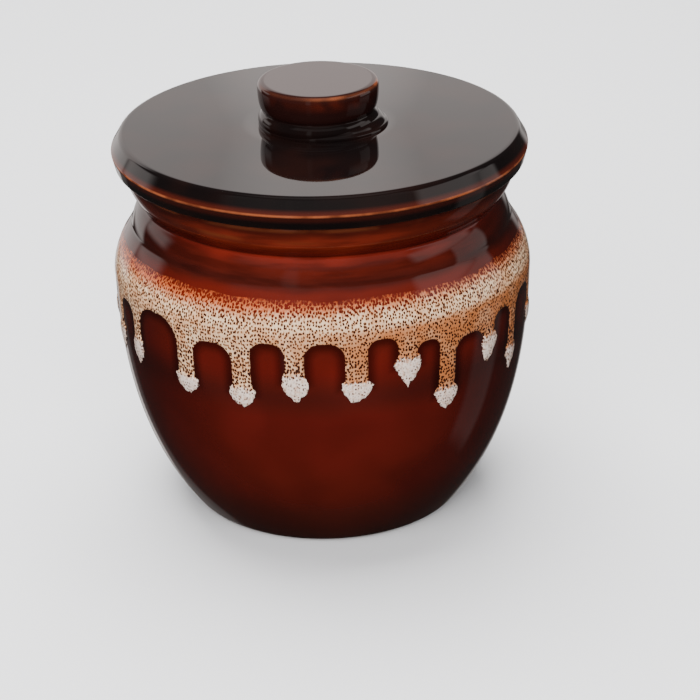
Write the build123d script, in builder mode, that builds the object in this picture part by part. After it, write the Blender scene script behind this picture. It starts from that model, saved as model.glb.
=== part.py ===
from build123d import *
import os
from math import cos, degrees, pi, radians, sin, tan
from typing import NamedTuple

# A small lidded stoneware jar: a turned pot, a lid with a luted knob, and a poured second glaze
# that ran down from the shoulder. Millimetres, +Z up, origin under the middle of the foot.

# Outside of the pot: its belly, and how far its foot and shoulder draw in from it
belly_radius = 50.5
belly_height = 60.4
wall_foot_draw_in = 16.2
wall_foot_height = 1.2
wall_foot_slope = 53.0
wall_foot_reach = 15.0
wall_belly_reach = 30.0
foot_undercut = 3.3
shoulder_draw_in = 4.6
shoulder_rise = 11.9
shoulder_reach = 6.8

# Neck: a lower roll, a waist, and a collar that flares to the rim, each counted from the one below
lower_roll_draw_in = 1.0
lower_roll_rise = 3.1
waist_draw_in = 1.9
waist_rise = 2.9
collar_spread = 3.0
collar_rise = 4.3
rim_spread = 1.2
rim_rise = 4.8
rim_round = 1.2
crease_round = 0.7

# Inside and underside of the pot
wall_thickness = 4.0
floor_thickness = 4.6
floor_corner_round = 6.0
rim_width = 7.0
mouth_flare = 1.4
mouth_edge_round = 1.2
neck_inside_depth = 11.4
neck_inside_reach = 6.5
foot_ring_width = 5.0
foot_recess_depth = 1.6
foot_ring_round = 0.6

# Lid, its radii counted from the rim that it rests on and its heights up from there
lid_overhang = 2.8
lid_arris_height = 3.5
lid_underside_draw_in = 0.9
lid_corner_draw_in = 2.3
lid_edge_thickness = 7.4
lid_crown = 0.8
lid_corner_round = 2.4
lid_arris_round = 0.7
lid_underside_round = 0.6
lid_ceiling_thickness = 5.0
lid_ceiling_round = 2.0
lid_ring_clearance = 0.8
lid_ring_thickness = 3.8
lid_ring_depth = 6.5
lid_ring_round = 1.1

# Knob, its heights counted up from the lid's flat middle
knob_foot_radius = 14.1
knob_bulge_swell = 0.3
knob_bulge_height = 1.0
knob_waist_draw_in = 1.0
knob_waist_height = 3.2
knob_head_spread = 0.4
knob_edge_round = 1.6
knob_height = 10.8

# Glaze that pooled round the knob's foot, more on one side
pool_spread = 1.5
pool_shift = 1.3
pool_thickness = 0.9
pool_edge_round = 0.75
lid_flat_margin = 0.8

# Poured glaze on the shoulder and its runs
glaze_thickness = 0.6
glaze_top_drop = 1.9
glaze_edge_round = 0.4
band_width = 9.9
arch_round_share = 0.4
run_drop = 22.2
run_width = 7.4
stem_share = 0.78
stem_end_share = 0.45
bead_length = 8.8
bead_thickness = 1.3
bead_rise_share = 0.38
bead_taper_share = 0.5
cut_overrun = 2.0

# How closely a place along the wall's curve is found
halving_share = 1e-6


class Run(NamedTuple):
    """One run of glaze, and the arch that follows it as the turn grows."""

    turn: float
    width_share: float
    bead_share: float
    reach_share: float
    arch_share: float


# Turns are degrees from the front towards +X. The shares are of run_width, bead_length and run_drop,
# and the last one is the part of run_drop by which the next arch stops short of arch_height.
run_shares = (
    Run(-61.5, 0.70, 0.95, 0.75, 0.00),
    Run(-40.0, 0.93, 0.66, 0.79, 0.12),
    Run(-22.5, 0.90, 0.75, 0.81, 0.04),
    Run(-8.0, 0.86, 1.00, 0.71, 0.03),
    Run(8.2, 1.00, 0.76, 0.72, 0.02),
    Run(22.2, 0.92, 1.00, 0.60, 0.13),
    Run(34.4, 0.90, 0.80, 1.00, 0.21),
    Run(50.0, 0.80, 0.97, 0.64, 0.12),
    Run(62.5, 0.72, 0.90, 0.93, 0.08),
    Run(79.5, 0.86, 0.82, 0.68, 0.03),
    Run(97.5, 0.94, 0.92, 0.84, 0.10),
    Run(111.0, 0.80, 0.76, 0.62, 0.06),
    Run(124.0, 0.92, 0.96, 0.95, 0.16),
    Run(138.0, 0.88, 0.80, 0.70, 0.04),
    Run(151.0, 0.76, 0.90, 0.80, 0.12),
    Run(166.0, 0.98, 0.84, 0.66, 0.02),
    Run(182.0, 0.84, 0.98, 0.88, 0.09),
    Run(197.0, 0.90, 0.78, 0.60, 0.05),
    Run(212.5, 0.80, 0.92, 0.76, 0.14),
    Run(226.5, 0.96, 0.86, 0.94, 0.03),
    Run(241.0, 0.84, 0.86, 0.72, 0.08),
    Run(256.0, 0.90, 1.00, 0.83, 0.12),
    Run(270.5, 0.78, 0.74, 0.64, 0.05),
    Run(284.5, 0.92, 0.90, 0.78, 0.10),
)

# Radii and heights that follow from the sizes above, from the foot up
wall_foot_radius = belly_radius - wall_foot_draw_in
foot_radius = wall_foot_radius - foot_undercut
shoulder_radius = belly_radius - shoulder_draw_in
shoulder_height = belly_height + shoulder_rise
lower_roll_radius = shoulder_radius - lower_roll_draw_in
lower_roll_height = shoulder_height + lower_roll_rise
waist_radius = lower_roll_radius - waist_draw_in
waist_height = lower_roll_height + waist_rise
collar_radius = waist_radius + collar_spread
collar_height = waist_height + collar_rise
rim_radius = collar_radius + rim_spread
rim_height = collar_height + rim_rise
floor_height = foot_recess_depth + floor_thickness
neck_inside_height = rim_height - neck_inside_depth
mouth_radius = rim_radius - rim_width - mouth_flare
glaze_top_height = shoulder_height - glaze_top_drop
arch_height = glaze_top_height - band_width
lowest_tip_height = arch_height - run_drop

# Those of the lid and the knob
lid_radius = rim_radius + lid_overhang
lid_underside_radius = lid_radius - lid_underside_draw_in
lid_corner_radius = lid_radius - lid_corner_draw_in
lid_corner_height = rim_height + lid_edge_thickness
lid_ceiling_height = lid_corner_height - lid_ceiling_thickness
lid_ring_radius = mouth_radius - lid_ring_clearance
lid_ring_bore_radius = lid_ring_radius - lid_ring_thickness
knob_level = lid_corner_height + lid_crown
knob_bulge_radius = knob_foot_radius + knob_bulge_swell
knob_waist_radius = knob_foot_radius - knob_waist_draw_in
knob_head_radius = knob_foot_radius + knob_head_spread
pool_radius = knob_foot_radius + pool_spread
lid_flat_radius = pool_shift + pool_radius + lid_flat_margin

# How far the wall goes out and up along its slope at the foot
foot_slope_run = wall_foot_reach * cos(radians(wall_foot_slope))
foot_slope_rise = wall_foot_reach * sin(radians(wall_foot_slope))


def wall_outline(swell: float) -> Bezier:
    """The wall from the belly down to the foot, x as the radius and y as the height, moved out by a swell."""
    return Bezier(
        (belly_radius + swell, belly_height),
        (belly_radius + swell, belly_height - wall_belly_reach),
        (wall_foot_radius + foot_slope_run + swell, wall_foot_height + foot_slope_rise),
        (wall_foot_radius + swell, wall_foot_height),
    )


def shoulder_outline(swell: float) -> Bezier:
    """The shoulder from the belly up to the neck, moved out by a swell."""
    return Bezier(
        (belly_radius + swell, belly_height),
        (belly_radius + swell, shoulder_height - shoulder_reach),
        (shoulder_radius + swell, shoulder_height),
    )


wall_curve = wall_outline(0)
shoulder_curve = shoulder_outline(0)
glaze_wall_curve = wall_outline(glaze_thickness)
glaze_shoulder_curve = shoulder_outline(glaze_thickness)


def corner(section: BuildSketch, radius: float, height: float) -> Vertex:
    """The corner of a section at a radius and a height."""
    return section.vertices().sort_by_distance((radius, height))[0]


def wall_share(height: float) -> float:
    """How far along the wall curve a height lies, found by halving."""
    upper, lower = 0.0, 1.0
    while lower - upper > halving_share:
        middle = (upper + lower) / 2
        if (wall_curve @ middle).Y > height:
            upper = middle
        else:
            lower = middle
    return upper


def wall_plane(turn: float, height: float) -> Plane:
    """Plane that touches the wall, with its x round the pot, its y up the wall and its z outwards."""
    share = wall_share(height)
    point = wall_curve @ share
    down = wall_curve % share
    angle = radians(turn)
    return Plane(
        origin=(point.X * sin(angle), -point.X * cos(angle), point.Y),
        x_dir=(cos(angle), sin(angle), 0),
        z_dir=(-down.Y * sin(angle), down.Y * cos(angle), down.X),
    )


def stem_half_turn(run: Run) -> float:
    """Half the angle that the stem of a run takes up round the belly, in degrees."""
    return degrees(run_width * run.width_share * stem_share / 2 / belly_radius)


def bead_rise(run: Run) -> float:
    """Height of the upper part of a bead, above its widest place."""
    return bead_length * run.bead_share * bead_rise_share


def bead_fall(run: Run) -> float:
    """Height of the tapering part of a bead, below its widest place."""
    return bead_length * run.bead_share * (1 - bead_rise_share)


def bead_height(run: Run) -> float:
    """Height above the ground of the widest place of a bead."""
    return arch_height - run_drop * run.reach_share + bead_fall(run)


def upright_cutter(turn: float, width: float, high: float, corner_round: float) -> Part:
    """Block that reaches out through the glaze, from below the lowest run, with rounded upper corners."""
    angle = radians(turn)
    low = lowest_tip_height - cut_overrun
    inner_radius = belly_radius - wall_thickness
    face_plane = Plane(
        origin=(inner_radius * sin(angle), -inner_radius * cos(angle), low),
        x_dir=(cos(angle), sin(angle), 0),
        z_dir=(sin(angle), -cos(angle), 0),
    )
    with BuildPart() as cutter:
        with BuildSketch(face_plane) as face:
            Rectangle(width, high - low, align=(Align.CENTER, Align.MIN))
            if corner_round > 0:
                fillet(face.vertices().group_by(Axis.Y)[-1], corner_round)
        extrude(amount=wall_thickness + glaze_thickness + cut_overrun)
    return cutter.part


def arch_cutter(run: Run, next_run: Run, next_turn: float) -> Part:
    """The arch between a run and the next one."""
    start = run.turn + stem_half_turn(run)
    end = next_turn - stem_half_turn(next_run)
    width = 2 * belly_radius * sin(radians(end - start) / 2)
    top = arch_height - run_drop * run.arch_share
    return upright_cutter((start + end) / 2, width, top, width * arch_round_share)


def stem_end_cutter(run: Run) -> Part:
    """Block that ends the stem of a run under its bead."""
    top = bead_height(run) + bead_rise(run) * stem_end_share
    return upright_cutter(run.turn, run_width * run.width_share, top, 0)


def glaze_bead(run: Run) -> Part:
    """Drop of glaze with a pointed lower end, flattened, its centre at its widest place."""
    half_width = run_width * run.width_share / 2
    rise = bead_rise(run)
    fall = bead_fall(run)
    with BuildPart() as bead:
        with BuildSketch():
            with BuildLine():
                EllipticalCenterArc((0, 0), half_width, rise, start_angle=0, arc_size=90)
                Bezier((half_width, 0), (half_width, -fall * bead_taper_share), (0, -fall))
                Line((0, rise), (0, -fall))
            make_face()
        revolve(axis=Axis.Y)
        scale(by=(1, 1, bead_thickness / half_width))
    return bead.part


# Section of the pot without its hollow, which also gives the glaze its inner face
with BuildPart() as pot_blank:
    with BuildSketch(Plane.XZ) as pot_section:
        with BuildLine():
            Line((0, 0), (foot_radius, 0))
            Bezier(
                (foot_radius, 0),
                (wall_foot_radius - wall_foot_height / tan(radians(wall_foot_slope)), 0),
                (wall_foot_radius, wall_foot_height),
            )
            add(wall_curve)
            add(shoulder_curve)
            ThreePointArc(
                (shoulder_radius, shoulder_height),
                (lower_roll_radius, lower_roll_height),
                (waist_radius, waist_height),
            )
            ThreePointArc(
                (waist_radius, waist_height),
                (collar_radius, collar_height),
                (rim_radius, rim_height),
            )
            Line((rim_radius, rim_height), (0, rim_height))
            Line((0, rim_height), (0, 0))
        make_face()
        fillet(corner(pot_section, rim_radius, rim_height), rim_round)
        fillet(corner(pot_section, waist_radius, waist_height), crease_round)
        fillet(corner(pot_section, shoulder_radius, shoulder_height), crease_round)
    revolve(axis=Axis.Z)

# Pot with its hollow, its mouth and the recess inside its foot ring
with BuildPart() as jar_body:
    add(pot_blank.part)
    with BuildSketch(Plane.XZ) as hollow_section:
        inner_belly_radius = belly_radius - wall_thickness
        inner_foot_radius = wall_foot_radius - wall_thickness
        with BuildLine():
            Bezier(
                (inner_belly_radius, belly_height),
                (inner_belly_radius, belly_height - wall_belly_reach),
                (inner_foot_radius + foot_slope_run, floor_height + foot_slope_rise),
                (inner_foot_radius, floor_height),
            )
            Bezier(
                (inner_belly_radius, belly_height),
                (inner_belly_radius, belly_height + neck_inside_reach),
                (mouth_radius, neck_inside_height - neck_inside_reach),
                (mouth_radius, neck_inside_height),
            )
            Line((mouth_radius, neck_inside_height), (mouth_radius + mouth_flare, rim_height))
            Line((mouth_radius + mouth_flare, rim_height), (0, rim_height))
            Line((0, rim_height), (0, floor_height))
            Line((0, floor_height), (inner_foot_radius, floor_height))
        make_face()
        fillet(corner(hollow_section, inner_foot_radius, floor_height), floor_corner_round)
    revolve(axis=Axis.Z, mode=Mode.SUBTRACT)
    mouth_edge = jar_body.edges().group_by(Axis.Z)[-1].sort_by(SortBy.LENGTH)[0]
    fillet(mouth_edge, mouth_edge_round)
    with BuildSketch():
        Circle(foot_radius - foot_ring_width)
    extrude(amount=foot_recess_depth, mode=Mode.SUBTRACT)
    foot_ring_edge = jar_body.edges().group_by(Axis.Z)[0].sort_by(SortBy.LENGTH)[0]
    fillet(foot_ring_edge, foot_ring_round)

# Poured glaze: a skin on the wall, cut into runs by arches, each stem ending under its bead
bead_planes = [wall_plane(run.turn, bead_height(run)) for run in run_shares]
beads = [plane.location * glaze_bead(run) for plane, run in zip(bead_planes, run_shares)]
following_runs = run_shares[1:] + run_shares[:1]
following_turns = [run.turn for run in run_shares[1:]] + [run_shares[0].turn + degrees(2 * pi)]
arch_cutters = [arch_cutter(*arch) for arch in zip(run_shares, following_runs, following_turns)]
stem_end_cutters = [stem_end_cutter(run) for run in run_shares]

with BuildPart() as drip_glaze:
    with BuildSketch(Plane.XZ) as glaze_section:
        with BuildLine():
            add(glaze_wall_curve)
            add(glaze_shoulder_curve)
            Polyline(
                (shoulder_radius + glaze_thickness, shoulder_height),
                (0, shoulder_height),
                (0, wall_foot_height),
                (wall_foot_radius + glaze_thickness, wall_foot_height),
            )
        make_face()
        with Locations((0, lowest_tip_height)):
            Rectangle(
                belly_radius + cut_overrun,
                glaze_top_height - lowest_tip_height,
                align=(Align.MIN, Align.MIN),
                mode=Mode.INTERSECT,
            )
        add(pot_section.sketch, mode=Mode.SUBTRACT)
        fillet(glaze_section.vertices().group_by(Axis.Y)[-1].sort_by(Axis.X)[-1], glaze_edge_round)
    revolve(axis=Axis.Z)
    add(arch_cutters, mode=Mode.SUBTRACT)
    add(stem_end_cutters, mode=Mode.SUBTRACT)
    add(beads, mode=Mode.SUBTRACT)

with BuildPart() as glaze_beads:
    add(beads)
    add(pot_blank.part, mode=Mode.SUBTRACT)

# Lid: widest at an arris, with a flat middle for the knob and a ring that drops into the mouth
with BuildPart() as lid:
    with BuildSketch(Plane.XZ) as lid_section:
        with BuildLine():
            Polyline(
                (0, knob_level),
                (lid_flat_radius, knob_level),
                (lid_corner_radius, lid_corner_height),
                (lid_radius, rim_height + lid_arris_height),
                (lid_underside_radius, rim_height),
                (lid_ring_radius, rim_height),
                (lid_ring_radius, rim_height - lid_ring_depth),
                (lid_ring_bore_radius, rim_height - lid_ring_depth),
                (lid_ring_bore_radius, lid_ceiling_height),
                (0, lid_ceiling_height),
                close=True,
            )
        make_face()
        fillet(corner(lid_section, lid_corner_radius, lid_corner_height), lid_corner_round)
        fillet(corner(lid_section, lid_radius, rim_height + lid_arris_height), lid_arris_round)
        fillet(corner(lid_section, lid_underside_radius, rim_height), lid_underside_round)
        fillet(lid_section.vertices().group_by(Axis.Y)[0], lid_ring_round)
        fillet(corner(lid_section, lid_ring_bore_radius, lid_ceiling_height), lid_ceiling_round)
    revolve(axis=Axis.Z)

# Knob: a bulged foot, a waist and a flat head
with BuildPart() as lid_knob:
    with BuildSketch(Plane.XZ):
        waist_level = knob_level + knob_waist_height
        top_level = knob_level + knob_height
        with BuildLine():
            Line((0, knob_level), (knob_foot_radius, knob_level))
            ThreePointArc(
                (knob_foot_radius, knob_level),
                (knob_bulge_radius, knob_level + knob_bulge_height),
                (knob_waist_radius, waist_level),
            )
            head_side = TangentArc(
                (knob_head_radius, top_level - knob_edge_round),
                (knob_waist_radius, waist_level),
                tangent=(0, -1),
            )
            head_edge = TangentArc(
                head_side @ 0,
                (knob_head_radius - knob_edge_round, top_level),
                tangent=(0, 1),
            )
            Line(head_edge @ 1, (0, top_level))
            Line((0, top_level), (0, knob_level))
        make_face()
    revolve(axis=Axis.Z)

# Glaze pooled on the lid round the knob
with BuildPart() as knob_glaze_pool:
    with BuildSketch(Plane.XY.offset(knob_level)):
        with Locations((pool_shift, 0)):
            Circle(pool_radius)
    extrude(amount=pool_thickness)
    fillet(knob_glaze_pool.edges().group_by(Axis.Z)[-1], pool_edge_round)
    add(lid_knob.part, mode=Mode.SUBTRACT)

os.makedirs("parts", exist_ok=True)

jar_body.part.label = "jar_body"
export_step(jar_body.part, "parts/jar_body.step")

drip_glaze.part.label = "drip_glaze"
export_step(drip_glaze.part, "parts/drip_glaze.step")

glaze_beads.part.label = "glaze_beads"
export_step(glaze_beads.part, "parts/glaze_beads.step")

lid.part.label = "lid"
export_step(lid.part, "parts/lid.step")

lid_knob.part.label = "lid_knob"
export_step(lid_knob.part, "parts/lid_knob.step")

knob_glaze_pool.part.label = "knob_glaze_pool"
export_step(knob_glaze_pool.part, "parts/knob_glaze_pool.step")
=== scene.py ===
"""A small lidded stoneware jar with a poured glaze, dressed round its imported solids."""

import logging
import math
import random
from contextlib import contextmanager
from dataclasses import dataclass
from enum import Enum
from typing import ClassVar, Iterator, NamedTuple

import bpy
import numpy as np
from mathutils import Matrix, Vector


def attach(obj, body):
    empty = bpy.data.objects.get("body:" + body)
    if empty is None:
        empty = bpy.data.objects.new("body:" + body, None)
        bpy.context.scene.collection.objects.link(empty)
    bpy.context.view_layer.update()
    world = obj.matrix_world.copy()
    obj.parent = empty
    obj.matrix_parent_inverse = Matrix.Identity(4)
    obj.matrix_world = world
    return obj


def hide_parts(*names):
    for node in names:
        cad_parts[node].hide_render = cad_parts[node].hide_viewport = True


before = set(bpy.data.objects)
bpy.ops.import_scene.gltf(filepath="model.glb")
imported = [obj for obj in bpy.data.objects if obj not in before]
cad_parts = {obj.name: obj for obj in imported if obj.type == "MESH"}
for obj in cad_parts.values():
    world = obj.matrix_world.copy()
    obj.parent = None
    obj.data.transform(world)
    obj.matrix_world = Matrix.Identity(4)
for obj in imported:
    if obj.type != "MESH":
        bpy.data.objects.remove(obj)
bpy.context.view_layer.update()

log = logging.getLogger("onggi_jar")

MM = 0.001
"""Metres in a millimetre: sizes below are in millimetres until a mesh is written."""

WELD = 0.002
"""Millimetres within which the vertices of a turned piece are welded."""

Point = tuple[float, float]
"""A radius and a height in millimetres."""

Chain = list[Point]
"""The points of an outline."""

Socket = bpy.types.NodeSocket
Solid = bpy.types.Object


class Body(Enum):
    """The two loose things that the jar is made of, by the name of the body each rides on."""

    POT = "jar"
    LID = "lid_body"


class Run(NamedTuple):
    """One run of poured glaze, and the arch that follows it as the turn grows."""

    turn: float
    width_share: float
    bead_share: float
    reach_share: float
    arch_share: float


RUNS = (
    Run(-61.5, 0.70, 0.95, 0.75, 0.00),
    Run(-40.0, 0.93, 0.66, 0.79, 0.12),
    Run(-22.5, 0.90, 0.75, 0.81, 0.04),
    Run(-8.0, 0.86, 1.00, 0.71, 0.03),
    Run(8.2, 1.00, 0.76, 0.72, 0.02),
    Run(22.2, 0.92, 1.00, 0.60, 0.13),
    Run(34.4, 0.90, 0.80, 1.00, 0.21),
    Run(50.0, 0.80, 0.97, 0.64, 0.12),
    Run(62.5, 0.72, 0.90, 0.93, 0.08),
    Run(79.5, 0.86, 0.82, 0.68, 0.03),
    Run(97.5, 0.94, 0.92, 0.84, 0.10),
    Run(111.0, 0.80, 0.76, 0.62, 0.06),
    Run(124.0, 0.92, 0.96, 0.95, 0.16),
    Run(138.0, 0.88, 0.80, 0.70, 0.04),
    Run(151.0, 0.76, 0.90, 0.80, 0.12),
    Run(166.0, 0.98, 0.84, 0.66, 0.02),
    Run(182.0, 0.84, 0.98, 0.88, 0.09),
    Run(197.0, 0.90, 0.78, 0.60, 0.05),
    Run(212.5, 0.80, 0.92, 0.76, 0.14),
    Run(226.5, 0.96, 0.86, 0.94, 0.03),
    Run(241.0, 0.84, 0.86, 0.72, 0.08),
    Run(256.0, 0.90, 1.00, 0.83, 0.12),
    Run(270.5, 0.78, 0.74, 0.64, 0.05),
    Run(284.5, 0.92, 0.90, 0.78, 0.10),
)
"""The runs, by their turn in degrees from the front towards +X."""


# Outlines


def bezier(*control: Point, steps: int = 16) -> Chain:
    """Samples a Bezier curve.

    Args:
        control: Its control points.
        steps: How many spans it is cut into.

    Returns:
        The points along it, both ends with them.
    """
    points = np.array(control, float)
    degree = len(points) - 1
    chain = []
    for share in np.linspace(0, 1, steps + 1):
        weights = [math.comb(degree, k) * share**k * (1 - share) ** (degree - k) for k in range(degree + 1)]
        chain.append(tuple(float(v) for v in np.dot(weights, points)))
    return chain


def arc(start: Point, middle: Point, end: Point, steps: int = 12) -> Chain:
    """Samples the arc through three points.

    Args:
        start: Its first point.
        middle: A point on it.
        end: Its last point.
        steps: How many spans it is cut into.

    Returns:
        The points along it, both ends with them.
    """
    (ax, ay), (bx, by), (cx, cy) = start, middle, end
    spread = 2 * (ax * (by - cy) + bx * (cy - ay) + cx * (ay - by))
    a, b, c = ax**2 + ay**2, bx**2 + by**2, cx**2 + cy**2
    ux = (a * (by - cy) + b * (cy - ay) + c * (ay - by)) / spread
    uy = (a * (cx - bx) + b * (ax - cx) + c * (bx - ax)) / spread
    radius = math.hypot(ax - ux, ay - uy)
    first = math.atan2(ay - uy, ax - ux)
    turn_middle = (math.atan2(by - uy, bx - ux) - first) % math.tau
    turn_end = (math.atan2(cy - uy, cx - ux) - first) % math.tau
    if turn_middle > turn_end:
        turn_end -= math.tau
    angles = [first + turn_end * k / steps for k in range(steps + 1)]
    return [(ux + radius * math.cos(angle), uy + radius * math.sin(angle)) for angle in angles]


def spans(*corners: tuple[float, float, float]) -> list[tuple[Chain, float]]:
    """Straight spans between corners, each a radius, a height and the reach of its round."""
    return [([start[:2], end[:2]], end[2]) for start, end in zip(corners, corners[1:])]


def between(start: Point, end: Point, share: float) -> Point:
    """The point at a share of the way from one point to another."""
    return start[0] + (end[0] - start[0]) * share, start[1] + (end[1] - start[1]) * share


def trim(chain: Chain, reach: float) -> Chain:
    """Cuts a length off the end of a chain.

    Args:
        chain: The points to trim.
        reach: The length to cut off, in millimetres.

    Returns:
        The chain up to the cut.
    """
    kept = list(chain)
    while len(kept) > 1:
        span = math.dist(kept[-2], kept[-1])
        if span > reach:
            kept[-1] = between(kept[-2], kept[-1], 1 - reach / span)
            return kept
        reach -= span
        kept.pop()
    return kept


def joined(*parts: tuple[Chain, float], steps: int = 6) -> Chain:
    """Joins chains end to start, with a rounded corner at each joint.

    Args:
        parts: Chains, each with the reach of the round at its end; 0 leaves that joint as it is.
        steps: How many spans each round is cut into.

    Returns:
        One chain.
    """
    whole = list(parts[0][0])
    for (_, reach), (chain, _) in zip(parts, parts[1:]):
        if reach > 0:
            before = trim(whole, reach)
            after = trim(chain[::-1], reach)[::-1]
            whole = before + bezier(before[-1], chain[0], after[0], steps=steps)[1:-1] + after
        else:
            whole = whole + chain[1:]
    return whole


def supported(chain: Chain, margin: float = 0.25, least: float = 1.5) -> Chain:
    """Adds a point near each end of a long span, so that smooth shading stays flat on it.

    Args:
        chain: The points of an outline.
        margin: How far from the ends the new points lie, in millimetres.
        least: The shortest span that gets them.

    Returns:
        The denser chain.
    """
    dense = [chain[0]]
    for start, end in zip(chain, chain[1:]):
        span = math.dist(start, end)
        if span > least:
            dense += [between(start, end, share) for share in (margin / span, 1 - margin / span)]
        dense.append(end)
    return dense


# Mesh tools


def select_none() -> None:
    """Deselects everything, so that an operator acts on nothing by accident."""
    bpy.ops.object.select_all(action="DESELECT")


def make_active(solid: Solid) -> None:
    """Selects one object alone and makes it the active one.

    Args:
        solid: The object.
    """
    select_none()
    solid.select_set(True)
    bpy.context.view_layer.objects.active = solid


@contextmanager
def edit_mode() -> Iterator[None]:
    """Keeps the active object in edit mode for as long as a with block lasts."""
    bpy.ops.object.mode_set(mode="EDIT")
    yield
    bpy.ops.object.mode_set(mode="OBJECT")


def vertex_places(solid: Solid) -> np.ndarray:
    """Reads a mesh's vertex places.

    Args:
        solid: The mesh object.

    Returns:
        Their places in millimetres, one row each.
    """
    places = np.empty(len(solid.data.vertices) * 3)
    solid.data.vertices.foreach_get("co", places)
    return places.reshape(-1, 3) / MM


def set_vertex_places(solid: Solid, places: np.ndarray) -> None:
    """Writes a mesh's vertex places, given in millimetres, one row each."""
    solid.data.vertices.foreach_set("co", np.ascontiguousarray(places * MM, float).ravel())
    solid.data.update()


def turns_of(places: np.ndarray) -> np.ndarray:
    """The turn of each place in degrees, from the front towards +X."""
    return np.degrees(np.arctan2(places[:, 0], -places[:, 1]))


def wrapped(turns: np.ndarray) -> np.ndarray:
    """Brings turns in degrees to between -180 and 180."""
    return (turns + 180) % 360 - 180


def write_attribute(solid: Solid, name: str, values: np.ndarray) -> None:
    """Stores one number for each vertex of a mesh, under a name that a finish reads."""
    attribute = solid.data.attributes.new(name, "FLOAT", "POINT")
    attribute.data.foreach_set("value", np.ascontiguousarray(values, np.float32))


def chain_object(name: str, chain: Chain) -> Solid:
    """Makes an open string of edges in the XZ plane out of a circle's ring of points.

    Args:
        name: The new object's name.
        chain: The points of an outline.

    Returns:
        The new object, with one vertex for each point.
    """
    select_none()
    bpy.ops.mesh.primitive_circle_add(vertices=len(chain), radius=MM)
    solid = bpy.context.object
    solid.name = name
    solid.data.name = name
    set_vertex_places(solid, np.array([(radius, 0, height) for radius, height in chain]))
    ends = {0, len(chain) - 1}
    for edge in solid.data.edges:
        edge.select = set(edge.vertices) == ends
    for vertex in solid.data.vertices:
        vertex.select = vertex.index in ends
    with edit_mode():
        bpy.ops.mesh.select_mode(type="EDGE")
        bpy.ops.mesh.delete(type="EDGE")
    return solid


def turned(name: str, chain: Chain, steps: int) -> Solid:
    """Turns an outline round the jar's axis, as on a wheel.

    Args:
        name: The new piece's name.
        chain: The outline; a closed form starts and ends on the axis.
        steps: How many spans go round.

    Returns:
        The turned piece, smooth, its faces outwards.
    """
    solid = chain_object(name, chain)
    with edit_mode():
        bpy.ops.mesh.select_all(action="SELECT")
        bpy.ops.mesh.spin(steps=steps, angle=math.tau, center=(0, 0, 0), axis=(0, 0, 1))
        bpy.ops.mesh.select_all(action="SELECT")
        bpy.ops.mesh.remove_doubles(threshold=WELD * MM)
        bpy.ops.mesh.select_all(action="SELECT")
        bpy.ops.mesh.normals_make_consistent(inside=False)
    bpy.ops.object.shade_smooth()
    return solid


def delete_faces(solid: Solid, doomed: np.ndarray) -> None:
    """Deletes faces, and the vertices that only they used.

    Args:
        solid: The mesh object.
        doomed: One truth value for each face.
    """
    make_active(solid)
    with edit_mode():
        bpy.ops.mesh.select_mode(type="FACE")
        bpy.ops.mesh.select_all(action="DESELECT")
    solid.data.polygons.foreach_set("select", np.ascontiguousarray(doomed, bool))
    with edit_mode():
        bpy.ops.mesh.delete(type="FACE")


def thicken(solid: Solid, depth: float) -> None:
    """Gives a sheet a closed back, sunk into what carries it.

    Args:
        solid: The sheet, its faces outwards.
        depth: How far behind the sheet its back lies, in millimetres.
    """
    make_active(solid)
    solidify = solid.modifiers.new("back", "SOLIDIFY")
    solidify.thickness = depth * MM
    solidify.offset = -1
    bpy.ops.object.modifier_apply(modifier=solidify.name)


def smooth_step(share: np.ndarray) -> np.ndarray:
    """Eases numbers from 0 to 1, held at both ends."""
    held = np.clip(share, 0, 1)
    return held * held * (3 - 2 * held)


# Node tools


def linear(hex_colour: str) -> tuple[float, float, float, float]:
    """Turns an sRGB hex value into a linear colour.

    Args:
        hex_colour: Such as #ff8800.

    Returns:
        Red, green, blue and a full alpha.
    """
    shares = [int(hex_colour[k : k + 2], 16) / 255 for k in (1, 3, 5)]
    red, green, blue = (s / 12.92 if s <= 0.04045 else ((s + 0.055) / 1.055) ** 2.4 for s in shares)
    return (red, green, blue, 1.0)


def new_tree(owner: bpy.types.Material | bpy.types.World) -> bpy.types.NodeTree:
    """Gives a material or a world an empty node tree.

    Args:
        owner: What the tree belongs to.

    Returns:
        The tree.
    """
    owner.use_nodes = True
    owner.node_tree.nodes.clear()
    return owner.node_tree


def add_node(
    tree: bpy.types.NodeTree,
    kind: str,
    settings: dict[str, object] | None = None,
    inputs: dict[str | int, object] | None = None,
) -> bpy.types.Node:
    """Adds a node with its settings, its values and its links.

    Args:
        tree: The node tree.
        kind: The node's type, such as Mix.
        settings: Properties to set on the node.
        inputs: For an input, a value, an sRGB hex colour, or the number or socket that feeds it.

    Returns:
        The new node.
    """
    node = tree.nodes.new(f"ShaderNode{kind}")
    for key, value in (settings or {}).items():
        setattr(node, key, value)
    for key, value in (inputs or {}).items():
        feed = value.socket if isinstance(value, Number) else value
        if isinstance(feed, Socket):
            tree.links.new(feed, node.inputs[key])
        else:
            node.inputs[key].default_value = linear(feed) if isinstance(feed, str) else feed
    return node


class Grain(NamedTuple):
    """A noise pattern of a glaze.

    Its size is that of its patches in millimetres, its detail the number of finer layers, its squash what
    the height is multiplied by, and rough how strong the finer layers are.
    """

    size: float
    detail: float = 2.0
    squash: float = 1.0
    rough: float = 0.5


class Span(NamedTuple):
    """A span of a number, from low to high, and what it becomes, from start to end."""

    low: float
    high: float
    start: float = 0.0
    end: float = 1.0


class Ring(NamedTuple):
    """A ring along a turned edge: how far inwards and up from it, how far it fades out, and its strength."""

    inwards: float
    rise: float
    reach: float
    share: float = 1.0


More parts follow.
